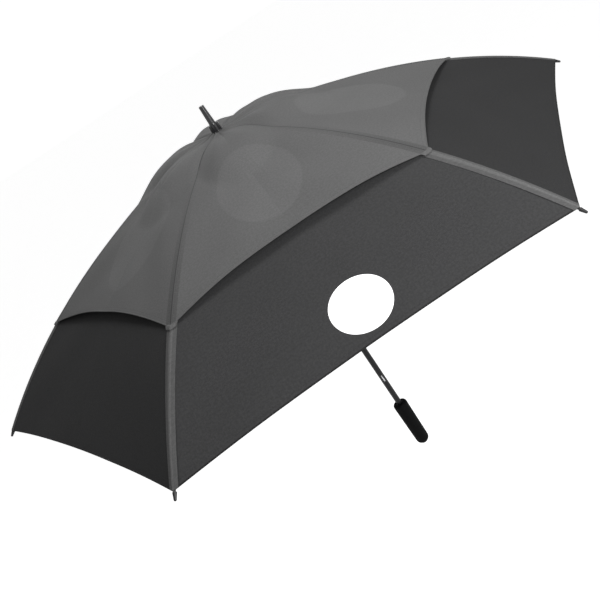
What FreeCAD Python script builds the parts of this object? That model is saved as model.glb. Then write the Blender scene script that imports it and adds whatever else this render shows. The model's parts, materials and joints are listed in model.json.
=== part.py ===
"""Double-canopy golf umbrella, open, with its folding ribs, runner and spring catches.

Frame: +Z runs up the shaft, the origin is the middle of the handle's flat end,
and two of the six ribs lie along +X and -X. Lengths are millimetres.

Each rib is an arc in the plane through the shaft. A place on the canopy is given
by its distance s along that arc from the crown pivot, and its lift above the arc.
"""
import FreeCAD
import Part
import json
import math
import os
from FreeCAD import Vector

# ---- driving dimensions -------------------------------------------------------
rib_count = 6
rib_len = 780.6            # along the arc, crown pivot to the end of the tip cap
rib_arc_r = 1372.6
rib_start_deg = 5.5        # slope of the rib below horizontal at the crown pivot
closed_chord_deg = 88.5    # slope of the rib's chord when the umbrella is shut
rib_r = 2.0
tip_room = 7.6             # from the handle's top up to the shut rib tips
tip_cap_len = 13.0
tip_cap_big_r = 3.5
tip_cap_small_r = 2.3
rod_end_back = 3.0

shaft_r = 7.0
shaft_wall = 1.0
slide_gap = 0.08
free_gap = 0.3
skin_gap = 0.3

handle_len = 135.0
grip_r = 18.0
grip_foot_round = 13.0
grip_top_round = 7.0
core_wall = 2.5
end_cap_h = 3.0
shaft_foot_z = 12.0
handle_collar_h = 4.0
handle_collar_wall = 3.5
handle_collar_sink = 1.5     # collar's top below the grip's

hub_wall = 2.4
eye_r = 2.2
tongue_t = 2.0
tongue_len = 14.0
pin_r = 1.0
pin_half_len = 3.6
pin_gap = 0.05
crown_top = 2.0            # crown disc above the pivot
crown_under = 5.0          # crown disc below the pivot
crown_hub_under = 14.0
rim_over_pin = 2.4
cross_pin_r = 1.0
cross_pin_below = 10.0
slot_room = 0.3

runner_top = 4.0           # runner flange above its pivots
runner_under = 5.0         # runner flange below its pivots
runner_sleeve_len = 45.0   # runner below its pivots
runner_park = 29.0         # from the handle's top to the shut runner
runner_slit_w = 5.0

bracket_drop = 7.0         # stretcher pivot below the rib's middle
bracket_half_len = 5.0
bracket_side = 1.2

lower_lift = 2.5
tape_lift = 3.2
upper_lift = 5.0
skin_t = 0.6
lower_first_s = 9.0
upper_hem_s = 508.0
upper_hem_dip = 25.0
lower_hem_back = 14.0
lower_hem_dip = 12.5
hem_curve = 2.2              # how soon a hem leaves its corner
tape_half_w_top = 12.5
tape_half_w_tip = 9.5
tape_lap = 12.0
vent_s = 315.0
vent_half_len = 125.0
vent_half_w = 80.0

washer_r = 15.0
washer_t = 1.5
collar_r = 11.5
collar_h = 16.0
moulded_round = 0.8
ferrule_len = 41.0
ferrule_lip = 0.1
ferrule_tip_r = 5.6
ferrule_bore_depth = 6.0

catch_azimuth_deg = -90.0   # midway between two ribs
catch_t = 2.6
catch_half_w = 2.4
catch_arm = 28.0
catch_out = 10.2
catch_lip = 3.0
catch_ramp = 14.0
catch_pin_r = 0.9
catch_room = 0.5
catch_press_deg = 6.5
stop_pin_half_len = 9.6

# ---- worked out from them -----------------------------------------------------
start = math.radians(rib_start_deg)
pitch = 2 * math.pi / rib_count
half_pitch = pitch / 2
hub_r = shaft_r + hub_wall
pivot_r = hub_r + free_gap + eye_r + 0.1
rim_r = pivot_r + pin_r + rim_over_pin
chord = 2 * rib_arc_r * math.sin(rib_len / rib_arc_r / 2)
fold = math.radians(closed_chord_deg) - start - rib_len / rib_arc_r / 2
handle_collar_r = shaft_r + handle_collar_wall
collar_seat_z = handle_len - handle_collar_sink - handle_collar_h
pivot_z = handle_len + tip_room + chord * math.sin(math.radians(closed_chord_deg))
arc_r0 = pivot_r - rib_arc_r * math.sin(start)
arc_z0 = pivot_z - rib_arc_r * math.cos(start)
runner_shut_z = handle_len + runner_park + runner_sleeve_len
lower_hem_s = rib_len - lower_hem_back
up = Vector(0, 0, 1)
along_y = Vector(0, 1, 0)


def arc_point(s, lift=0.0, y=0.0):
    """The point at distance s along a rib, lift above it, in the plane of +X and +Z."""
    angle = start + s / rib_arc_r
    reach = rib_arc_r + lift
    return Vector(arc_r0 + reach * math.sin(angle), y, arc_z0 + reach * math.cos(angle))


def fold_link(s):
    """Length and open angle from vertical of the line from the crown pivot to the bracket's."""
    joint = arc_point(s, -bracket_drop)
    across = joint.x - pivot_r
    down = pivot_z - joint.z
    return math.hypot(across, down), math.atan2(across, down)


def find_bracket():
    """The bracket place that brings the runner to rest just above the handle when shut."""
    low, high = 0.2 * rib_len, 0.8 * rib_len
    for _ in range(60):
        middle = (low + high) / 2
        length, open_angle = fold_link(middle)
        if 2 * length * math.cos(open_angle - fold) < pivot_z - runner_shut_z:
            low = middle
        else:
            high = middle
    return middle


bracket_s = find_bracket()
link_len, open_angle = fold_link(bracket_s)
runner_z = pivot_z - 2 * link_len * math.cos(open_angle)
runner_travel = runner_z - runner_shut_z


def ring(inner, outer, bottom, top):
    """A tube about the shaft's axis."""
    body = Part.makeCylinder(outer, top - bottom, Vector(0, 0, bottom))
    if inner > 0:
        body = body.cut(Part.makeCylinder(inner, top - bottom, Vector(0, 0, bottom)))
    return body


def turned(shape, degrees):
    """A copy of a shape, turned about the shaft's axis."""
    copy = shape.copy()
    copy.rotate(Vector(0, 0, 0), up, degrees)
    return copy


def around(shape):
    """One copy of a shape for each rib."""
    return [turned(shape, k * 360.0 / rib_count) for k in range(rib_count)]


def cross_cylinder(radius, half_len, place):
    """A round bar along Y, centred on a place in the plane of +X and +Z."""
    return Part.makeCylinder(radius, 2 * half_len, place - along_y * half_len, along_y)


def box(x0, x1, half_y, z0, z1):
    return Part.makeBox(x1 - x0, 2 * half_y, z1 - z0, Vector(x0, -half_y, z0))


# ---- canopy -------------------------------------------------------------------
def skin_point(t, v, side, lift, first_s, hem_s, dip, half_w):
    """A point of a canopy skin. t runs from crown to hem, v from the rib to the skin's side."""
    edge = half_w(first_s + (hem_s - first_s) * t)
    s = first_s + (hem_s - dip * (1 - (1 - v) ** hem_curve) - first_s) * t
    spine = arc_point(s, lift)
    whole = spine.x * math.sin(half_pitch) * math.cos(half_pitch) - skin_gap / 2
    y = v * (whole if edge is None else edge)
    return Vector(spine.x - y * math.tan(half_pitch), side * y, spine.z)


def skin(lift, first_s, hem_s, dip, half_w=lambda s: None):
    """A closed thin sheet, creased along the rib, made of straight lines between ribs."""
    rows, columns = 9, 5

    def surface(side, height):
        grid = []
        for i in range(rows):
            row = []
            for j in range(columns):
                t, v = i / (rows - 1), j / (columns - 1)
                row.append(skin_point(t, v, side, height, first_s, hem_s, dip, half_w))
            grid.append(row)
        sheet = Part.BSplineSurface()
        sheet.interpolate(grid)
        return sheet

    faces = []
    for side in (1, -1):
        below, above = surface(side, lift), surface(side, lift + skin_t)
        faces += [below.toShape(), above.toShape()]
        u0, u1, v0, v1 = above.bounds()
        for low, high in ((below.uIso(u0), above.uIso(u0)), (below.uIso(u1), above.uIso(u1)),
                          (below.vIso(v1), above.vIso(v1))):
            faces.append(Part.makeRuledSurface(low.toShape(), high.toShape()))
    shell = Part.makeShell(faces)
    shell.sewShape()
    solid = Part.makeSolid(shell)
    if solid.Volume < 0:
        solid.reverse()
    return solid


def upper_canopy():
    first = shaft_r + 2 * free_gap
    first_s = (first / math.cos(half_pitch) - pivot_r) / math.cos(start)
    return skin(upper_lift, first_s, upper_hem_s, upper_hem_dip)


def lower_canopy():
    """The lower skin, with half of an oval vent at each side edge."""
    sheet = skin(lower_lift, lower_first_s, lower_hem_s, lower_hem_dip)
    centre = arc_point(vent_s, lower_lift)
    slope = math.atan(math.tan(start + vent_s / rib_arc_r) / math.cos(half_pitch))
    depth = 60.0
    oval = Part.Ellipse(Vector(0, 0, -depth), vent_half_len, vent_half_w).toShape()
    vent = Part.Face(Part.Wire(oval)).extrude(up * 2 * depth)
    vent.rotate(Vector(0, 0, 0), along_y, math.degrees(slope))
    vent.translate(Vector(centre.x * math.cos(half_pitch), 0, centre.z))
    for side in (1, -1):
        sheet = sheet.cut(turned(vent, side * math.degrees(half_pitch)))
    return sheet


def rib_tape():
    """The cover tape over the rib seam, from under the upper hem to the rib's tip."""
    first = upper_hem_s - tape_lap

    def half_w(s):
        share = (s - first) / (lower_hem_s - first)
        return tape_half_w_top + (tape_half_w_tip - tape_half_w_top) * share

    return skin(tape_lift, first, lower_hem_s, 0.0, half_w)


# ---- ribs and stretchers ------------------------------------------------------
def tongue(length):
    """A flat end with a pin hole at the origin, running along +X to where its rod starts."""
    eye = cross_cylinder(eye_r, tongue_t / 2, Vector(0, 0, 0))
    return eye.fuse(box(0, length, tongue_t / 2, -rib_r, rib_r))


def eye_hole():
    return cross_cylinder(pin_r + pin_gap, tongue_t, Vector(0, 0, 0))


def placed(shape, place, degrees):
    """A shape turned down from +X by an angle about its origin, then moved to a place."""
    copy = shape.copy()
    copy.rotate(Vector(0, 0, 0), along_y, degrees)
    copy.translate(place)
    return copy


def rib_rod(first_s, last_s, radius=rib_r):
    """A round rod bent along the rib's arc."""
    angle = start + first_s / rib_arc_r
    direction = Vector(math.cos(angle), 0, -math.sin(angle))
    disc = Part.Face(Part.Wire(Part.makeCircle(radius, arc_point(first_s), direction)))
    centre = Vector(arc_r0, 0, arc_z0)
    return disc.revolve(centre, along_y, math.degrees((last_s - first_s) / rib_arc_r))


def rib():
    rod = rib_rod(tongue_len - eye_r, rib_len - rod_end_back)
    pivot = arc_point(0)
    end = placed(tongue(tongue_len), pivot, rib_start_deg)
    return rod.fuse(end).cut(placed(eye_hole(), pivot, rib_start_deg)).removeSplitter()


def rib_bracket():
    """A saddle under the rib with two ears, and the rivet that holds the stretcher."""
    side = rib_r + bracket_side
    ear_in = tongue_t / 2 + slot_room
    block = box(-bracket_half_len, bracket_half_len, side, -bracket_drop - eye_r, rib_r / 2)
    mouth = box(-bracket_half_len, bracket_half_len, ear_in, -bracket_drop - eye_r,
                -bracket_drop + eye_r + 2 * slot_room)
    block = block.cut(mouth)
    joint = Vector(0, 0, -bracket_drop)
    rivet = cross_cylinder(pin_r, side + 0.6, joint)
    block = block.cut(cross_cylinder(pin_r, side, joint))
    slope = rib_start_deg + math.degrees(bracket_s / rib_arc_r)
    block = placed(block, arc_point(bracket_s), slope)
    near = rib_rod(bracket_s - 3 * bracket_half_len, bracket_s + 3 * bracket_half_len)
    return Part.makeCompound([block.cut(near), placed(rivet, arc_point(bracket_s), slope)])


def rib_tip():
    """A tapered cap with a rounded end, bored for the end of the rod."""
    slope = rib_start_deg + math.degrees((rib_len - tip_cap_len) / rib_arc_r)
    direction = Vector(1, 0, 0)
    straight = tip_cap_len - tip_cap_small_r
    cap = Part.makeCone(tip_cap_big_r, tip_cap_small_r, straight, Vector(0, 0, 0), direction)
    cap = cap.fuse(Part.makeSphere(tip_cap_small_r, Vector(straight, 0, 0)))
    cap = placed(cap, arc_point(rib_len - tip_cap_len), slope)
    return cap.cut(rib_rod(rib_len - 2 * tip_cap_len, rib_len - rod_end_back))


def stretcher():
    """A straight strut from the rib bracket to the runner, with its own runner pin."""
    joint = arc_point(bracket_s, -bracket_drop)
    foot = Vector(pivot_r, 0, runner_z)
    run = foot - joint
    degrees = math.degrees(math.atan2(-run.z, run.x))
    rod_back = tongue_len - eye_r
    rod = Part.makeCylinder(rib_r, link_len - 2 * rod_back, Vector(rod_back, 0, 0), Vector(1, 0, 0))
    far = tongue(tongue_len)
    far.rotate(Vector(0, 0, 0), up, 180)
    far.translate(Vector(link_len, 0, 0))
    strut = rod.fuse(tongue(tongue_len)).fuse(far).cut(eye_hole())
    strut = strut.fuse(cross_cylinder(pin_r, pin_half_len, Vector(link_len, 0, 0)))
    return placed(strut.removeSplitter(), joint, degrees)


# ---- crown and top ------------------------------------------------------------
def pin_slot(bottom, top):
    """The radial slot that one rib or stretcher end moves in."""
    return box(hub_r + 0.1, rim_r + 1.0, tongue_t / 2 + slot_room, bottom, top)


def crown_notch():
    """The slotted disc that the ribs hinge on, with a hub pinned to the shaft."""
    bottom, top = pivot_z - crown_under, pivot_z + crown_top
    disc = ring(shaft_r, rim_r, bottom, top)
    disc = disc.fuse(ring(shaft_r, hub_r, pivot_z - crown_hub_under, bottom))
    pins = cross_cylinder(pin_r, pin_half_len, Vector(pivot_r, 0, pivot_z))
    cuts = around(pin_slot(bottom, top)) + around(pins)
    cuts.append(crown_rivet())
    return disc.cut(cuts).removeSplitter()


def crown_pins():
    pin = cross_cylinder(pin_r, pin_half_len, Vector(pivot_r, 0, pivot_z))
    return Part.makeCompound(around(pin))


def crown_rivet():
    place = Vector(0, 0, pivot_z - cross_pin_below)
    return turned(cross_cylinder(cross_pin_r, hub_r, place), catch_azimuth_deg)


washer_z = arc_point(0, upper_lift + skin_t).z + 2 * free_gap


def canopy_washer():
    return ring(shaft_r, washer_r, washer_z, washer_z + washer_t)


def top_collar():
    """The moulded collar that clamps the canopy's centre."""
    bottom = washer_z + washer_t
    body = ring(shaft_r, collar_r, bottom, bottom + collar_h)
    rim = [e for e in body.Edges if abs(e.BoundBox.ZMin - bottom - collar_h) < 1e-6
           and e.BoundBox.ZLength < 1e-6 and e.BoundBox.XLength > 2 * shaft_r + 0.1]
    return body.makeFillet(moulded_round, rim)


def ferrule():
    """The plain tapered tip on top of the shaft."""
    bottom = washer_z + washer_t + collar_h
    cone = Part.makeCone(shaft_r + ferrule_lip, ferrule_tip_r, ferrule_len, Vector(0, 0, bottom))
    rim = [e for e in cone.Edges if e.BoundBox.ZMin > bottom + ferrule_len - 1e-6]
    cone = cone.makeFillet(moulded_round, rim)
    bore = shaft_r - shaft_wall
    return cone.cut(Part.makeCylinder(bore, ferrule_bore_depth, Vector(0, 0, bottom)))


# ---- shaft and handle ---------------------------------------------------------
def shaft_tube():
    top = washer_z + washer_t + collar_h
    tube = ring(shaft_r - shaft_wall, shaft_r, shaft_foot_z, top)
    cuts = [crown_rivet(), stop_pin(), catch_pins()]
    for lowest, highest in catch_windows():
        window = box(shaft_r - 2 * shaft_wall, shaft_r + 1, catch_t / 2 + free_gap, lowest, highest)
        cuts.append(turned(window, catch_azimuth_deg))
    return tube.cut(cuts).removeSplitter()


def stop_pin():
    """The cross pin that ends the runner's travel at the open position."""
    place = Vector(0, 0, runner_z + runner_top + cross_pin_r + free_gap)
    return turned(cross_cylinder(cross_pin_r, stop_pin_half_len, place), catch_azimuth_deg)


def handle_core():
    """The rigid sleeve under the foam, closed at its foot."""
    tube = ring(shaft_r, shaft_r + core_wall, shaft_foot_z, collar_seat_z)
    return tube.fuse(ring(0, shaft_r + core_wall, end_cap_h, shaft_foot_z)).removeSplitter()


def grip():
    """The foam sleeve, with a full round at its foot and a smaller one at its top."""
    foam = ring(0, grip_r, 0, handle_len)
    foot = [e for e in foam.Edges if e.BoundBox.ZMax < 1e-6]
    foam = foam.makeFillet(min(grip_foot_round, grip_r / 1.35), foot)
    brim = [e for e in foam.Edges if e.BoundBox.ZMin > handle_len - 1e-6]
    foam = foam.makeFillet(min(grip_top_round, grip_r - handle_collar_r - 0.3), brim)
    core = ring(0, shaft_r + core_wall, 0, handle_len)
    return foam.cut([core, ring(0, handle_collar_r, collar_seat_z, handle_len)])


def handle_end_cap():
    """The plug that closes the foot of the grip."""
    return ring(0, shaft_r + core_wall, 0, end_cap_h)


def handle_collar():
    """The ring round the shaft, sunk in the grip's top."""
    return ring(shaft_r, handle_collar_r, collar_seat_z, collar_seat_z + handle_collar_h)


# ---- runner -------------------------------------------------------------------
def runner():
    """The sliding sleeve, whose flange holds the stretcher pins in slots open below."""
    bore = shaft_r + slide_gap
    bottom, top = runner_z - runner_under, runner_z + runner_top
    foot = runner_z - runner_sleeve_len
    body = ring(bore, rim_r, bottom, top).fuse(ring(bore, hub_r, foot, bottom))
    half_w = pin_r + slot_room
    groove = box(pivot_r - half_w, pivot_r + half_w, pin_half_len + slot_room, bottom, runner_z + half_w)
    cuts = around(pin_slot(bottom, top)) + around(groove)
    slit = box(0, catch_out + catch_room, runner_slit_w / 2, foot, top)
    cuts.append(turned(slit, catch_azimuth_deg))
    return body.cut(cuts).removeSplitter()


# ---- spring catches -----------------------------------------------------------
def catch_shape():
    """A lever pivoted at the origin, its lip at the top and the ramp of its nose below."""
    top = catch_arm
    outline = [(-catch_half_w, -catch_half_w), (catch_half_w, -catch_half_w),
               (catch_half_w, top - catch_ramp), (catch_out, top - catch_lip),
               (catch_out, top), (-catch_half_w, top)]
    points = [Vector(x, -catch_t / 2, z) for x, z in outline]
    plate = Part.Face(Part.makePolygon(points + points[:1])).extrude(along_y * catch_t)
    return plate.cut(cross_cylinder(catch_pin_r + pin_gap, catch_t, Vector(0, 0, 0)))


top_catch_z = runner_z - runner_sleeve_len - free_gap - catch_arm
bottom_catch_z = runner_shut_z + runner_top + free_gap + catch_arm


def top_catch():
    """The catch that stands under the open runner."""
    lever = catch_shape()
    lever.translate(up * top_catch_z)
    return turned(lever, catch_azimuth_deg)


def bottom_catch():
    """The catch that stands over the shut runner, upside down to the other."""
    lever = catch_shape().mirror(Vector(0, 0, 0), up)
    lever.translate(up * bottom_catch_z)
    return turned(lever, catch_azimuth_deg)


def catch_pins():
    pins = []
    for height in (top_catch_z, bottom_catch_z):
        pin = cross_cylinder(catch_pin_r, shaft_r - 0.2, Vector(0, 0, height))
        pins.append(turned(pin, catch_azimuth_deg))
    return Part.makeCompound(pins)


def catch_windows():
    """The lowest and highest point of each slot that a catch comes out of."""
    low = top_catch_z + catch_arm - catch_ramp - 3.0
    high = bottom_catch_z - catch_arm + catch_ramp + 3.0
    swing_room = catch_out * math.sin(math.radians(catch_press_deg)) + free_gap
    return ((low, top_catch_z + catch_arm + swing_room),
            (bottom_catch_z - catch_arm - swing_room, high))


# ---- write one file per piece -------------------------------------------------
single = [shaft_tube, handle_core, grip, handle_end_cap, handle_collar, crown_notch, crown_pins,
          crown_rivet, canopy_washer, top_collar, ferrule, stop_pin, catch_pins, runner,
          top_catch, bottom_catch]
repeated = [rib, rib_bracket, rib_tip, rib_tape, upper_canopy, lower_canopy, stretcher]

os.makedirs("parts", exist_ok=True)
for make in single:
    make().exportStep(f"parts/{make.__name__}.step")
for make in repeated:
    for number, shape in enumerate(around(make()), start=1):
        shape.exportStep(f"parts/{make.__name__}_{number}.step")

bracket = arc_point(bracket_s, -bracket_drop)
print(json.dumps({
    "pivot_r": pivot_r, "pivot_z": pivot_z, "bracket": [bracket.x, bracket.z],
    "runner_z": runner_z, "travel": runner_travel, "fold_rad": fold, "link": link_len,
    "top_catch_z": top_catch_z, "bottom_catch_z": bottom_catch_z, "bracket_s": bracket_s,
    "washer_z": washer_z}))
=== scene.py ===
"""Looks of the double-canopy golf umbrella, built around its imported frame.

Lengths are metres in the frame's own axes: +Z up the shaft, the origin at the
middle of the handle's foot, rib 1 along +X and the others every 60 degrees.
"""
import json
import math

import bpy
from mathutils import Matrix, Vector


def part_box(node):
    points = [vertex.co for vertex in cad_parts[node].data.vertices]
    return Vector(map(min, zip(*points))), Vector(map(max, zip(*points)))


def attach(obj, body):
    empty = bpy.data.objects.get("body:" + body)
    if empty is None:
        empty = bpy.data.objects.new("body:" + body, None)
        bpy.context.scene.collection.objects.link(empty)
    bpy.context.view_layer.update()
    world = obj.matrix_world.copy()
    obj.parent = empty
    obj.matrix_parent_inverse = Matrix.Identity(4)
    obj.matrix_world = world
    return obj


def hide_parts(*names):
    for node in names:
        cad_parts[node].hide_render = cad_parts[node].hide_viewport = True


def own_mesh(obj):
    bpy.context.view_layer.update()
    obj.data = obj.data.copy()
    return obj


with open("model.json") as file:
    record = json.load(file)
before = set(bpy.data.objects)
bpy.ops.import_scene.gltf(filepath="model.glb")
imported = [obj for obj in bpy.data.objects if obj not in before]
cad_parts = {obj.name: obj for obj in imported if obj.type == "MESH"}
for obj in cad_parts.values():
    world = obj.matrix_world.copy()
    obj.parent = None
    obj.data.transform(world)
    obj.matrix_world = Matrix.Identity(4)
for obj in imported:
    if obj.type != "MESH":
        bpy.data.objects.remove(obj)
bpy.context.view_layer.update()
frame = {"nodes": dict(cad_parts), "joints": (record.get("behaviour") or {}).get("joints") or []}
bpy.ops.object.select_all(action="DESELECT")

# ---- the umbrella's own sizes ---------------------------------------------------
RIBS = 6
PITCH = 2 * math.pi / RIBS
HALF = PITCH / 2
JOINTS = {joint["name"]: joint for joint in frame["joints"]}
PIVOT = Vector(JOINTS["rib_fold_1"]["pos_m"])
ARC = 1.3726                 # radius of the rib's arc
SLOPE = math.radians(5.5)    # the rib's slope at the crown pivot
ARC_X = PIVOT.x - ARC * math.sin(SLOPE)
ARC_Z = PIVOT.z - ARC * math.cos(SLOPE)

CLOTH_THICK = 0.0004
UPPER = {"lift": 0.0056, "first": -0.0032, "hem": 0.508, "dip": 0.025}
LOWER = {"lift": 0.0031, "first": 0.009, "hem": 0.7666, "dip": 0.0125}
HEM_CURVE = 2.2              # how soon a hem leaves its corner
HEM_STAND = 0.009            # the upper hem stands off the lower canopy between its ribs
HEM_STAND_FROM = 0.33
VENT_S = 0.315
VENT_HALF_LEN = 0.125
VENT_HALF_W = 0.080
PAINTED_VENT_LIGHT = 0.13          # painted light: how much lighter the cloth is painted over a vent, where light comes through the single layer
PUFF_S = 0.155
PUFF_HALF_LEN = 0.135
PUFF_HALF_W = 0.085
PUFF = 0.019
EASE = 0.002                 # slack of the upper canopy between rib and mid-panel
UPPER_RIPPLE = 0.0011
LOWER_RIPPLE = 0.0009
RIPPLE_LEN = 0.26
TAPE_LIFT = 0.0039
TAPE_FIRST = 0.496
TAPE_HALF_TOP = 0.0126
TAPE_HALF_TIP = 0.0096
TAB_HALF_W = 0.0134
TAB_LEN = 0.010
COLUMN_CROWD = 1.35          # the grids' columns crowd towards the rib
WAVE_TURN = 2.3              # the slack waves' turn from one rib to the next
BINDING_HALF_W = 0.0025
BINDING_THICK = 0.0014
UPPER_EDGING_HALF_W = 0.0012
LOWER_EDGING_HALF_W = 0.0016
EDGING_THICK = 0.0012
TAPE_THICK = 0.0007
TAB_THICK = 0.0021
UPPER_GRID = (56, 72)        # columns and rows
LOWER_GRID = (48, 80)

FOOT_TAPER = 0.09
GRIP_TOP_ROUND = 0.007
GRIP_FOOT_ROUND = 0.013
GRIP_DISH = 0.005            # depth of the dish round the shaft

SPOT_S = 0.686
SPOT_SIDE = -0.014
SPOT_R = 0.052

CHARCOAL_PANELS = (2, 5)     # panel n lies between rib n and rib n + 1
MARKED_PANEL = 5

CAMERA_PLACE = (-0.0571, -1.5951, 1.1773)
CAMERA_TURN = (61.8654, 29.9134, -18.6641)
CAMERA_LENS = 46.07
CAMERA_SHIFT = (-0.0807, -0.0172)
SKY_ON_CLOTH = 0.42
SKY_SEEN = 1.05


# ---- camera, light and floor ----------------------------------------------------
def set_camera():
    bpy.ops.object.camera_add(location=CAMERA_PLACE,
                              rotation=[math.radians(a) for a in CAMERA_TURN])
    camera = bpy.context.object
    camera.name = "camera"
    camera.data.lens = CAMERA_LENS
    camera.data.sensor_width = 36.0
    camera.data.shift_x, camera.data.shift_y = CAMERA_SHIFT
    camera.data.clip_end = 100.0
    bpy.context.scene.camera = camera


def area_light(name, place, target, size, watts):
    bpy.ops.object.light_add(type="AREA", location=place)
    lamp = bpy.context.object
    lamp.name = name
    lamp.data.size = size
    lamp.data.energy = watts
    aim = Vector(target) - Vector(place)
    lamp.rotation_euler = aim.to_track_quat("-Z", "Y").to_euler()


def set_studio():
    """A white sky seen by the camera, a softer one that lights the cloth, and four lamps."""
    world = bpy.data.worlds.new("studio")
    bpy.context.scene.world = world
    world.use_nodes = True
    tree = world.node_tree
    seen = tree.nodes.new("ShaderNodeLightPath")
    strength = tree.nodes.new("ShaderNodeMapRange")
    strength.inputs["To Min"].default_value = SKY_ON_CLOTH
    strength.inputs["To Max"].default_value = SKY_SEEN
    tree.links.new(seen.outputs["Is Camera Ray"], strength.inputs["Value"])
    sky = tree.nodes["Background"]
    sky.inputs["Color"].default_value = (1.0, 1.0, 1.0, 1.0)
    tree.links.new(strength.outputs["Result"], sky.inputs["Strength"])
    bpy.context.scene.view_settings.view_transform = "Standard"
    middle = (0.0, 0.0, 0.75)
    area_light("top_light", (0.6, 0.3, 3.0), middle, 0.9, 54.0)
    area_light("key_light", (1.2, -2.9, 2.6), middle, 1.4, 20.0)
    area_light("side_light", (0.85, -1.75, 1.20), (0.35, -0.5, 0.72), 0.5, 42.0)
    area_light("rim_light", (-0.4, 3.0, 2.4), middle, 1.5, 18.0)
    bpy.ops.mesh.primitive_plane_add(size=80.0, location=(0.0, 0.0, -1.7))
    floor = bpy.context.object
    floor.name = "floor"
    floor.data.materials.append(floor_paint())


# ---- materials --------------------------------------------------------------------
def add(tree, kind, inputs=None, **settings):
    """A node with its settings, and its inputs by name or number: a value or another's output."""
    node = tree.nodes.new(kind)
    for key, value in settings.items():
        setattr(node, key, value)
    for key, value in (inputs or {}).items():
        if isinstance(value, bpy.types.NodeSocket):
            tree.links.new(value, node.inputs[key])
        else:
            node.inputs[key].default_value = value
    return node


def noise(tree, vector, scale, detail=2.0):
    return add(tree, "ShaderNodeTexNoise",
               {"Vector": vector, "Scale": scale, "Detail": detail}).outputs["Fac"]


def maths(tree, operation, *values, clamp=False):
    node = add(tree, "ShaderNodeMath", dict(enumerate(values)), operation=operation)
    node.use_clamp = clamp
    return node.outputs[0]


def ramp(tree, value, low, high, from_value, to_value):
    """A smooth step of a value from one number at low to another at high."""
    node = add(tree, "ShaderNodeMapRange", {"Value": value, "From Min": low, "From Max": high,
                                            "To Min": from_value, "To Max": to_value},
               interpolation_type="SMOOTHSTEP")
    return node.outputs["Result"]


def shaded(tree, colour, *factors):
    """A colour made lighter or darker by factors."""
    result = None
    for factor in factors:
        result = factor if result is None else maths(tree, "MULTIPLY", result, factor)
    return add(tree, "ShaderNodeVectorMath", {0: colour, "Scale": result},
               operation="SCALE").outputs[0]


def start(name):
    material = bpy.data.materials.new(name)
    material.use_nodes = True
    tree = material.node_tree
    return material, tree, tree.nodes["Principled BSDF"]


def plain(name, colour, roughness):
    """A paint with a faint mottle."""
    material, tree, shader = start(name)
    spot = add(tree, "ShaderNodeTexCoord").outputs["Object"]
    mottle = noise(tree, spot, 3.0)
    tint = shaded(tree, colour, ramp(tree, mottle, 0.3, 0.7, 0.99, 1.01))
    tree.links.new(tint, shader.inputs["Base Color"])
    shader.inputs["Roughness"].default_value = roughness
    return material


def floor_paint():
    """White floor paint, bright enough to run into the sky behind it."""
    material = plain("floor_paint", (0.92, 0.92, 0.92), 0.85)
    shader = material.node_tree.nodes["Principled BSDF"]
    shader.inputs["Emission Color"].default_value = (1.0, 1.0, 1.0, 1.0)
    shader.inputs["Emission Strength"].default_value = 0.6
    return material


def bumped(tree, shader, height, strength, distance):
    bump = add(tree, "ShaderNodeBump", {"Strength": strength, "Distance": distance,
                                        "Height": height})
    tree.links.new(bump.outputs["Normal"], shader.inputs["Normal"])


def moulded(name, colour, roughness, grain=900.0, depth=0.00004, coat=0.0):
    """Moulded plastic: a fine spark-eroded grain, slightly uneven gloss and scuffs."""
    material, tree, shader = start(name)
    spot = add(tree, "ShaderNodeTexCoord").outputs["Object"]
    fine = noise(tree, spot, grain, 3.0)
    wide = noise(tree, spot, 45.0, 4.0)
    tint = shaded(tree, colour, ramp(tree, wide, 0.35, 0.7, 0.9, 1.12))
    tree.links.new(tint, shader.inputs["Base Color"])
    tree.links.new(ramp(tree, wide, 0.3, 0.75, roughness - 0.05, roughness + 0.08),
                   shader.inputs["Roughness"])
    shader.inputs["Specular IOR Level"].default_value = 0.3
    shader.inputs["Coat Weight"].default_value = coat
    bumped(tree, shader, fine, 0.35, depth)
    return material


def enamel(name, colour, roughness):
    """Baked paint over drawn tube: faint draw lines along the tube and orange peel."""
    material, tree, shader = start(name)
    spot = add(tree, "ShaderNodeTexCoord").outputs["Object"]
    drawn = add(tree, "ShaderNodeMapping", {"Vector": spot, "Scale": (1.0, 1.0, 0.02)}).outputs[0]
    lines = noise(tree, drawn, 700.0)
    peel = noise(tree, spot, 260.0)
    tint = shaded(tree, colour, ramp(tree, lines, 0.3, 0.7, 0.92, 1.08))
    tree.links.new(tint, shader.inputs["Base Color"])
    tree.links.new(ramp(tree, peel, 0.3, 0.7, roughness - 0.04, roughness + 0.06),
                   shader.inputs["Roughness"])
    shader.inputs["Specular IOR Level"].default_value = 0.2
    shader.inputs["Coat Weight"].default_value = 0.04
    bumped(tree, shader, maths(tree, "ADD", lines, peel), 0.2, 0.00003)
    return material


def steel(name, roughness):
    """Bare wire and spring steel with fine drawing scratches."""
    material, tree, shader = start(name)
    spot = add(tree, "ShaderNodeTexCoord").outputs["Object"]
    scratch = noise(tree, spot, 1500.0)
    tint = shaded(tree, (0.5, 0.5, 0.51), ramp(tree, scratch, 0.3, 0.7, 0.85, 1.1))
    tree.links.new(tint, shader.inputs["Base Color"])
    tree.links.new(ramp(tree, scratch, 0.3, 0.7, roughness, roughness + 0.15),
                   shader.inputs["Roughness"])
    shader.inputs["Metallic"].default_value = 1.0
    return material


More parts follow.
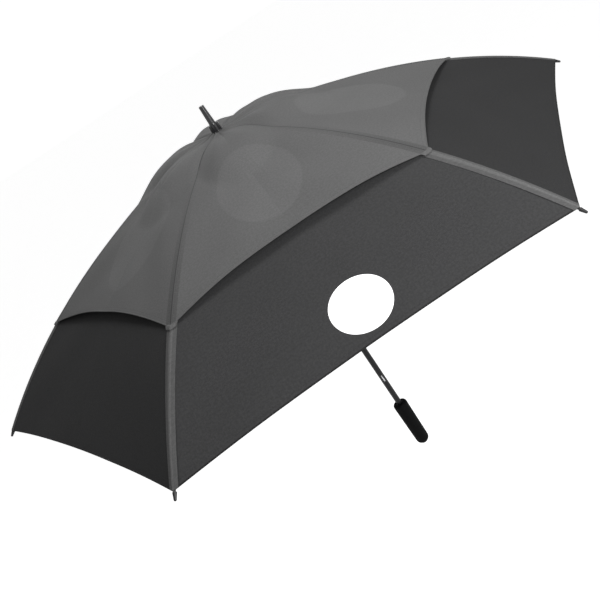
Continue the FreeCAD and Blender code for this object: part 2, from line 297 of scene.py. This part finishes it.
def foam(name):
    """Closed-cell foam: pinholes with painted shade in them, a soft skin and a faint sheen."""
    material, tree, shader = start(name)
    spot = add(tree, "ShaderNodeTexCoord").outputs["Object"]
    cells = add(tree, "ShaderNodeTexVoronoi", {"Vector": spot, "Scale": 900.0}).outputs["Distance"]
    wide = noise(tree, spot, 60.0, 4.0)
    # painted shade: the pinholes are painted darker as well as bumped
    pinholes_and_their_shade = ramp(tree, cells, 0.0, 0.35, 0.75, 1.0)
    tint = shaded(tree, (0.0022, 0.0022, 0.0023), pinholes_and_their_shade, ramp(tree, wide, 0.3, 0.7, 0.85, 1.2))
    tree.links.new(tint, shader.inputs["Base Color"])
    tree.links.new(ramp(tree, wide, 0.3, 0.7, 0.62, 0.78), shader.inputs["Roughness"])
    shader.inputs["Specular IOR Level"].default_value = 0.06
    shader.inputs["Sheen Roughness"].default_value = 0.5
    bumped(tree, shader, maths(tree, "ADD", pinholes_and_their_shade, wide), 0.5, 0.00015)
    return material


def stripes(tree, value, period):
    """A wave from 0 to 1 across a length, one crest each period."""
    wave = maths(tree, "SINE", maths(tree, "MULTIPLY", value, 2 * math.pi / period))
    return maths(tree, "MULTIPLY_ADD", wave, 0.5, 0.5)


def line(tree, distance, place, half_width):
    """1 on a line at a distance from an edge, fading to 0 at its sides."""
    away = maths(tree, "ABSOLUTE", maths(tree, "SUBTRACT", distance, place))
    return ramp(tree, away, half_width * 0.5, half_width, 1.0, 0.0)


def oval(tree, place, side, along, half_w, half_len, edge):
    """1 inside an oval on the cloth's own map, 0 outside it."""
    across = maths(tree, "DIVIDE", maths(tree, "SUBTRACT", place[0], side), half_w)
    down = maths(tree, "DIVIDE", maths(tree, "SUBTRACT", place[1], along), half_len)
    radius = maths(tree, "SQRT", maths(tree, "ADD", maths(tree, "MULTIPLY", across, across),
                                       maths(tree, "MULTIPLY", down, down)))
    return ramp(tree, radius, 1.0 - edge, 1.0, 1.0, 0.0)


def cloth(name, colour, roughness=0.72, spotted=False, grain=0.10, painted_vent_light=False):
    """Plain-woven polyester: threads, slubs, seam lines with stitches, a folded hem, and where asked
    painted light over the vents.
    """
    material, tree, shader = start(name)
    flat = add(tree, "ShaderNodeUVMap", uv_map="Cloth").outputs[0]
    split = add(tree, "ShaderNodeSeparateXYZ", {0: flat}).outputs
    seams = add(tree, "ShaderNodeUVMap", uv_map="Seams").outputs[0]
    rib_way, hem_way = add(tree, "ShaderNodeSeparateXYZ", {0: seams}).outputs[:2]

    warp = stripes(tree, split[0], 0.0007)
    weft = stripes(tree, split[1], 0.0007)
    weave = maths(tree, "MULTIPLY", warp, weft)
    long_slub, wide_slub = (
        add(tree, "ShaderNodeMapping", {"Vector": flat, "Scale": scale}).outputs[0]
        for scale in ((900.0, 45.0, 1.0), (45.0, 900.0, 1.0)))
    slubs = maths(tree, "ADD", noise(tree, long_slub, 1.0), noise(tree, wide_slub, 1.0))
    fine = noise(tree, flat, 420.0, 3.0)
    # painted shade: a broad, soft tone of a few percent in the cloth's colour stands in for the
    # shading of soft folds; the crepe with it is the cloth's own grain
    painted_fold_shade = noise(tree, flat, 7.0, 3.0)

    threads = ramp(tree, slubs, 0.6, 1.4, 1.0 - grain, 1.0 + grain)
    specks = ramp(tree, fine, 0.3, 0.7, 1.0 - grain, 1.0 + grain)
    crepe = noise(tree, flat, 230.0)
    fold_shade_and_crepe = maths(tree, "MULTIPLY", ramp(tree, painted_fold_shade, 0.3, 0.7, 0.97, 1.03),
                   ramp(tree, crepe, 0.35, 0.65, 1.0 - grain, 1.0 + grain))
    seam = line(tree, rib_way, 0.0, 0.0016)
    dash = ramp(tree, stripes(tree, hem_way, 0.0042), 0.35, 0.5, 0.0, 1.0)
    rib_stitch = maths(tree, "MULTIPLY", line(tree, rib_way, 0.0045, 0.0006), dash)
    hem_dash = ramp(tree, stripes(tree, split[0], 0.0042), 0.35, 0.5, 0.0, 1.0)
    hem_stitch = maths(tree, "MULTIPLY", line(tree, hem_way, 0.009, 0.0006), hem_dash)
    stitches = maths(tree, "MAXIMUM", rib_stitch, hem_stitch)
    felled = maths(tree, "MULTIPLY", ramp(tree, rib_way, 0.0115, 0.0125, 1.0, 0.0),
                   ramp(tree, hem_way, 0.02, 0.33, 1.0, 0.0))
    seam_shade = maths(tree, "MULTIPLY", maths(tree, "MULTIPLY_ADD", seam, -0.45, 1.0),
                       maths(tree, "MULTIPLY_ADD", felled, -0.24, 1.0))
    stitch_shade = maths(tree, "MULTIPLY_ADD", stitches, -0.3, 1.0)
    tint = shaded(tree, colour, threads, specks, fold_shade_and_crepe, seam_shade, stitch_shade)

    # painted light: the upper cloth is painted lighter over each vent of the lower canopy, for the
    # light that comes through the single layer there
    if painted_vent_light:
        inside = oval(tree, split, 0.0, VENT_S, VENT_HALF_W, VENT_HALF_LEN, 0.06)
        tint = add(tree, "ShaderNodeVectorMath",
                   {0: tint, "Scale": maths(tree, "MULTIPLY_ADD", inside, PAINTED_VENT_LIGHT, 1.0)},
                   operation="SCALE").outputs[0]
    if spotted:
        inside = oval(tree, split, SPOT_SIDE, SPOT_S, SPOT_R, SPOT_R, 0.02)
        print_tint = shaded(tree, (0.86, 0.86, 0.86), ramp(tree, slubs, 0.6, 1.4, 0.97, 1.03))
        blend = add(tree, "ShaderNodeMix", data_type="RGBA")
        tree.links.new(inside, blend.inputs[0])
        tree.links.new(tint, blend.inputs[6])
        tree.links.new(print_tint, blend.inputs[7])
        tint = blend.outputs[2]

    tree.links.new(tint, shader.inputs["Base Color"])
    tree.links.new(ramp(tree, slubs, 0.6, 1.4, roughness - 0.06, roughness + 0.06),
                   shader.inputs["Roughness"])
    shader.inputs["Sheen Weight"].default_value = 0.012
    shader.inputs["Sheen Roughness"].default_value = 0.45
    shader.inputs["Specular IOR Level"].default_value = 0.11
    fold = ramp(tree, hem_way, 0.0095, 0.0105, 1.0, 0.0)
    height = maths(tree, "MULTIPLY_ADD", fold, 2.0, weave)
    height = maths(tree, "MULTIPLY_ADD", seam, -3.0, height)
    height = maths(tree, "MULTIPLY_ADD", slubs, 0.6, height)
    height = maths(tree, "MULTIPLY_ADD", stitches, -1.5, height)
    bumped(tree, shader, height, 0.35, 0.00012)
    return material


def make_materials():
    charcoal = (0.0225, 0.0225, 0.023)
    return {
        "grey": cloth("grey_cloth", (0.060, 0.060, 0.060), grain=0.06, painted_vent_light=True),
        "charcoal": cloth("charcoal_cloth", charcoal, 0.78, grain=0.09),
        "marked": cloth("charcoal_cloth_with_spot", charcoal, 0.78, True, 0.09),
        "black": cloth("black_cloth", (0.0125, 0.0125, 0.0128), 0.78, grain=0.08),
        "tape": cloth("grey_tape", (0.064, 0.064, 0.064), 0.7, grain=0.08),
        "edging": cloth("black_edging", (0.010, 0.010, 0.010), 0.8),
        "gloss": moulded("gloss_plastic", (0.012, 0.012, 0.013), 0.26, 500.0, 0.00002, 0.5),
        "nylon": moulded("black_nylon", (0.008, 0.008, 0.0085), 0.5),
        "fibre": moulded("glass_fibre_rod", (0.015, 0.015, 0.015), 0.38, 1400.0),
        "enamel": enamel("black_enamel", (0.006, 0.006, 0.0065), 0.34),
        "steel": steel("bare_steel", 0.3),
        "foam": foam("grip_foam"),
    }


# ---- canopy -----------------------------------------------------------------------
def rib_place(s, lift):
    angle = SLOPE + s / ARC
    return ARC_X + (ARC + lift) * math.sin(angle), ARC_Z + (ARC + lift) * math.cos(angle)


def half_chord(s, lift):
    """Half of a level line from one rib to the next."""
    return rib_place(s, lift)[0] * math.sin(HALF)


def side_of(across):
    return 1 if across >= 0 else -1


def wave_phase(number, side):
    return WAVE_TURN * number + side


def hem_at(spec, share):
    return spec["hem"] - spec["dip"] * (1 - (1 - share) ** HEM_CURVE)


def panel_place(side, share, s, lift, stand=0.0):
    """A point of a panel beside a rib along +X. share runs from 0 on the rib to 1 at mid-panel."""
    reach, height = rib_place(s, lift)
    y = share * reach * math.sin(HALF) * math.cos(HALF)
    slope = math.atan(math.tan(SLOPE + s / ARC) / math.cos(HALF))
    outward = Vector((math.sin(slope) * math.cos(HALF), side * math.sin(slope) * math.sin(HALF),
                      math.cos(slope)))
    return Vector((reach - y * math.tan(HALF), side * y, height)) + stand * outward


def ripple(share, s, height, phase):
    """Slack waves that run out at the rib and at mid-panel, where the next sheet begins."""
    return height * 4 * share * (1 - share) * math.sin(2 * math.pi * (share + s / RIPPLE_LEN) + phase)


def lower_stand(share, s, phase=0.0):
    return ripple(share, s, LOWER_RIPPLE, phase)


def upper_stand(share, s, phase=0.0):
    """How far the upper canopy billows over the vents and stands off at its hem."""
    from_mid = (1 - share) * rib_place(s, 0.0)[0] * math.sin(HALF)
    away = (from_mid / PUFF_HALF_W) ** 2 + ((s - PUFF_S) / PUFF_HALF_LEN) ** 2
    billow = PUFF * max(0.0, 1 - away) ** 1.6
    down = min(1.0, max(0.0, (s - HEM_STAND_FROM) / (UPPER["hem"] - UPPER["dip"] - HEM_STAND_FROM)))
    slack = EASE * 4 * share * (1 - share)
    return billow + slack + HEM_STAND * down ** 2 * (1 - (1 - share) ** 2) \
        + ripple(share, s, UPPER_RIPPLE, phase)


def blank_grid(name, columns, rows):
    bpy.ops.object.select_all(action="DESELECT")
    bpy.ops.mesh.primitive_grid_add(x_subdivisions=columns, y_subdivisions=rows, size=1.0,
                                    calc_uvs=False)
    sheet = bpy.context.object
    sheet.name = name
    return sheet


def shape_grid(sheet, number, place_and_maps):
    """Moves a grid's points on to the canopy, turns them to their rib, and writes the two maps."""
    turn = Matrix.Rotation((number - 1) * PITCH, 3, "Z")
    maps = []
    for vertex in sheet.data.vertices:
        point, cloth_uv, seam_uv = place_and_maps(2 * vertex.co.x, vertex.co.y + 0.5)
        vertex.co = turn @ point
        maps.append((cloth_uv, seam_uv))
    for index, name in enumerate(("Cloth", "Seams")):
        layer = sheet.data.uv_layers.new(name=name)
        for loop in sheet.data.loops:
            layer.data[loop.index].uv = maps[loop.vertex_index][index]
    sheet.data.update()
    face = sheet.data.polygons[len(sheet.data.polygons) // 2]
    if face.normal.z < 0:
        bpy.ops.object.mode_set(mode="EDIT")
        bpy.ops.mesh.select_all(action="SELECT")
        bpy.ops.mesh.flip_normals()
        bpy.ops.object.mode_set(mode="OBJECT")


def thicken(sheet, thickness):
    sheet.modifiers.new("thickness", "SOLIDIFY")
    sheet.modifiers["thickness"].thickness = thickness
    sheet.modifiers["thickness"].offset = -1.0
    bpy.ops.object.select_all(action="DESELECT")
    sheet.select_set(True)
    bpy.context.view_layer.objects.active = sheet
    bpy.ops.object.modifier_apply(modifier="thickness")
    bpy.ops.object.shade_smooth_by_angle(angle=math.radians(40.0))


def fold_with_rib(piece, number):
    """The cloth rides on its rib's body, with a mesh of its own."""
    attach(piece, f"rib_{number}")
    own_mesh(piece)


def skin_sheet(name, number, spec, grid, stand_off):
    """One rib's share of a canopy, from mid-panel to mid-panel."""
    sheet = blank_grid(name, *grid)

    def place(across, along):
        share = abs(across) ** COLUMN_CROWD
        side = side_of(across)
        hem = hem_at(spec, share)
        s = spec["first"] + (hem - spec["first"]) * along
        stand = stand_off(share, s, wave_phase(number, side))
        point = panel_place(side, share, s, spec["lift"], stand)
        width = half_chord(s, spec["lift"])
        return point, (side * (1 - share) * width, s), (share * width, hem - s)

    shape_grid(sheet, number, place)
    return sheet


def upper_cloth(number, materials):
    sheet = skin_sheet(f"upper_cloth_{number}", number, UPPER, UPPER_GRID, upper_stand)
    sheet.data.materials.append(materials["grey"])
    thicken(sheet, CLOTH_THICK)
    fold_with_rib(sheet, number)
    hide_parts(f"upper_canopy_{number}")
    edging = hem_edging(number, UPPER, "upper_hem_edging", UPPER_EDGING_HALF_W, materials,
                        "grey")


def lower_cloth(number, materials):
    sheet = skin_sheet(f"lower_cloth_{number}", number, LOWER, LOWER_GRID, lower_stand)
    before = (number - 2) % RIBS + 1
    for panel in (number, before):
        kind = "charcoal" if panel in CHARCOAL_PANELS else "black"
        if panel == MARKED_PANEL:
            kind = "marked"
        sheet.data.materials.append(materials[kind])
    along = Vector((math.cos((number - 1) * PITCH), math.sin((number - 1) * PITCH), 0.0))
    for face in sheet.data.polygons:
        face.material_index = 0 if along.cross(face.center).z > 0 else 1
    thicken(sheet, CLOTH_THICK)
    cut_vents(sheet, number)
    fold_with_rib(sheet, number)
    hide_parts(f"lower_canopy_{number}")
    trims = [vent_binding(number, materials),
             hem_edging(number, LOWER, "lower_hem_edging", LOWER_EDGING_HALF_W, materials,
                        "edging")]


def cut_vents(sheet, number):
    """Cuts half an oval vent from each side edge of a lower sheet."""
    slope = math.atan(math.tan(SLOPE + VENT_S / ARC) / math.cos(HALF))
    reach, height = rib_place(VENT_S, LOWER["lift"])
    for side in (1, -1):
        azimuth = (number - 1) * PITCH + side * HALF
        centre = Matrix.Rotation(azimuth, 3, "Z") @ Vector((reach * math.cos(HALF), 0.0, height))
        bpy.ops.object.select_all(action="DESELECT")
        bpy.ops.mesh.primitive_cylinder_add(vertices=72, radius=1.0, depth=0.12, location=centre,
                                            rotation=(0.0, slope, azimuth),
                                            scale=(VENT_HALF_LEN, VENT_HALF_W, 1.0))
        cutter = bpy.context.object
        sheet.modifiers.new("vent", "BOOLEAN")
        sheet.modifiers["vent"].object = cutter
        sheet.modifiers["vent"].operation = "DIFFERENCE"
        sheet.modifiers["vent"].solver = "EXACT"
        bpy.context.view_layer.objects.active = sheet
        bpy.ops.object.modifier_apply(modifier="vent")
        bpy.data.objects.remove(cutter)


def vent_binding(number, materials):
    """A narrow bound edge round the two half vents of a lower sheet."""
    halves = []
    for side in (1, -1):
        band = blank_grid(f"vent_binding_{number}_{'right' if side > 0 else 'left'}", 2, 40)

        def place(across, along):
            turn = math.pi * (along - 0.5)
            grow = 1 + across * BINDING_HALF_W / VENT_HALF_W
            s = VENT_S + (VENT_HALF_LEN + across * BINDING_HALF_W) * math.sin(turn)
            from_mid = VENT_HALF_W * grow * math.cos(turn)
            width = half_chord(s, LOWER["lift"])
            lift = LOWER["lift"] + 0.0007 - 0.0004 * abs(across)
            share = 1 - from_mid / width
            point = panel_place(side, share, s, lift, lower_stand(share, s, wave_phase(number, side)))
            return point, (across * BINDING_HALF_W, along * 0.3), (0.02, 0.02)

        shape_grid(band, number, place)
        band.data.materials.append(materials["edging"])
        halves.append(band)
    bpy.ops.object.select_all(action="DESELECT")
    for band in halves:
        band.select_set(True)
    bpy.context.view_layer.objects.active = halves[0]
    bpy.ops.object.join()
    binding = bpy.context.object
    binding.name = f"vent_binding_{number}"
    thicken(binding, BINDING_THICK)
    fold_with_rib(binding, number)
    return binding


def hem_edging(number, spec, name, half_width, materials, kind):
    """A narrow binding folded over a hem."""
    strip = blank_grid(f"{name}_{number}", (UPPER_GRID if spec is UPPER else LOWER_GRID)[0], 2)

    def place(across, along):
        share = abs(across) ** COLUMN_CROWD
        side = side_of(across)
        s = hem_at(spec, share) + (along - 0.75) * 2 * half_width
        lift = spec["lift"] + 0.0006 * math.sin(math.pi * along)
        width = half_chord(s, lift)
        stand = (upper_stand if spec is UPPER else lower_stand)(share, s, wave_phase(number, side))
        point = panel_place(side, share, s, lift, stand)
        return point, (share * width, along * 0.004), (0.02, 0.02)

    shape_grid(strip, number, place)
    strip.data.materials.append(materials[kind])
    thicken(strip, EDGING_THICK)
    fold_with_rib(strip, number)
    return strip


def rib_tape(number, materials):
    """The cover tape over the seam of the lower panels."""
    sheet = blank_grid(f"seam_tape_{number}", 8, 48)
    last = LOWER["hem"]

    def place(across, along):
        side = side_of(across)
        s = TAPE_FIRST + (last - TAPE_FIRST) * along
        half = TAPE_HALF_TOP + (TAPE_HALF_TIP - TAPE_HALF_TOP) * along
        lift = TAPE_LIFT + 0.0005 * (1 - across ** 2)
        width = half_chord(s, lift)
        share = abs(across) * half / width
        point = panel_place(side, share, s, lift)
        return point, (across * half, s), (0.0045 + half * (1 - abs(across)), 0.02)

    shape_grid(sheet, number, place)
    sheet.data.materials.append(materials["tape"])
    thicken(sheet, TAPE_THICK)
    fold_with_rib(sheet, number)
    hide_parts(f"rib_tape_{number}")
    tab = corner_tab(number, materials)


def corner_tab(number, materials):
    """The folded strip that holds the upper canopy's corner down over the end of the tape."""
    tab = blank_grid(f"corner_tab_{number}", 12, 8)

    def place(across, along):
        side = side_of(across)
        s = UPPER["hem"] - TAB_LEN * 0.45 + TAB_LEN * along
        lift = UPPER["lift"] + 0.0003 + 0.0011 * math.sin(math.pi * along) ** 0.5
        width = half_chord(s, lift)
        half = TAB_HALF_W * (1 - 0.10 * along)
        point = panel_place(side, abs(across) * half / width, s, lift)
        return point, (across * half, along * TAB_LEN), (0.02, 0.02)

    shape_grid(tab, number, place)
    tab.data.materials.append(materials["tape"])
    thicken(tab, TAB_THICK)
    fold_with_rib(tab, number)
    return tab


# ---- handle -----------------------------------------------------------------------
def grip_foam(materials):
    """The foam grip: a sleeve that thins towards its round foot, with a dished top."""
    low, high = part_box("grip")
    radius = high.x
    bpy.ops.object.select_all(action="DESELECT")
    bpy.ops.mesh.primitive_cylinder_add(vertices=64, radius=radius, depth=high.z,
                                        location=(0.0, 0.0, high.z / 2), end_fill_type="NGON")
    grip = bpy.context.object
    grip.name = "grip_foam"
    bpy.ops.object.transform_apply(location=True, rotation=False, scale=False)
    bpy.ops.object.mode_set(mode="EDIT")
    bpy.ops.mesh.select_mode(type="FACE")
    for top in (True, False):
        bpy.ops.mesh.select_all(action="DESELECT")
        bpy.ops.object.mode_set(mode="OBJECT")
        for face in grip.data.polygons:
            face.select = face.normal.z > 0.9 if top else face.normal.z < -0.9
        bpy.ops.object.mode_set(mode="EDIT")
        bpy.ops.mesh.inset(thickness=radius * 0.48, depth=0.0)
        bpy.ops.mesh.inset(thickness=0.0005, depth=0.0)
        if top:
            bpy.ops.mesh.inset(thickness=0.0004, depth=-GRIP_DISH)
    bpy.ops.object.mode_set(mode="OBJECT")
    grip.data.update()
    rims = {round(high.z, 4): GRIP_TOP_ROUND, 0.0: GRIP_FOOT_ROUND}
    for z, size in rims.items():
        bpy.ops.object.mode_set(mode="EDIT")
        bpy.ops.mesh.select_mode(type="EDGE")
        bpy.ops.mesh.select_all(action="DESELECT")
        bpy.ops.object.mode_set(mode="OBJECT")
        for edge in grip.data.edges:
            ends = [grip.data.vertices[i].co for i in edge.vertices]
            edge.select = all(math.hypot(p.x, p.y) > radius - 1e-5 and abs(p.z - z) < 1e-4
                              for p in ends)
        bpy.ops.object.mode_set(mode="EDIT")
        bpy.ops.mesh.bevel(offset=size, segments=10, profile=0.5)
        bpy.ops.object.mode_set(mode="OBJECT")
    for vertex in grip.data.vertices:
        taper = 1 - FOOT_TAPER * (1 - vertex.co.z / high.z)
        vertex.co.x *= taper
        vertex.co.y *= taper
    bpy.ops.object.shade_smooth_by_angle(angle=math.radians(35.0))
    grip.data.materials.append(materials["foam"])
    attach(grip, "shaft")
    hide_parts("grip")


# ---- the frame's own pieces -------------------------------------------------------
NODE_FINISH = {
    "shaft_tube": "enamel", "handle_core": "nylon", "grip": "foam", "handle_end_cap": "nylon",
    "handle_collar": "nylon", "crown_notch": "nylon", "crown_pins": "steel", "crown_rivet": "steel",
    "canopy_washer": "nylon", "top_collar": "gloss", "ferrule": "gloss", "stop_pin": "steel",
    "catch_pins": "steel", "runner": "nylon", "top_catch": "steel", "bottom_catch": "steel",
    "rib": "fibre", "rib_bracket": "nylon", "rib_tip": "nylon", "rib_tape": "tape",
    "upper_canopy": "grey", "lower_canopy": "black", "stretcher": "enamel",
}


def finish_frame(materials):
    for name, node in frame["nodes"].items():
        base = name.rstrip("0123456789").rstrip("_")
        node.data.materials.clear()
        node.data.materials.append(materials[NODE_FINISH[base]])


set_camera()
set_studio()
MATERIALS = make_materials()
finish_frame(MATERIALS)
for rib_number in range(1, RIBS + 1):
    upper_cloth(rib_number, MATERIALS)
    lower_cloth(rib_number, MATERIALS)
    rib_tape(rib_number, MATERIALS)
grip_foam(MATERIALS)
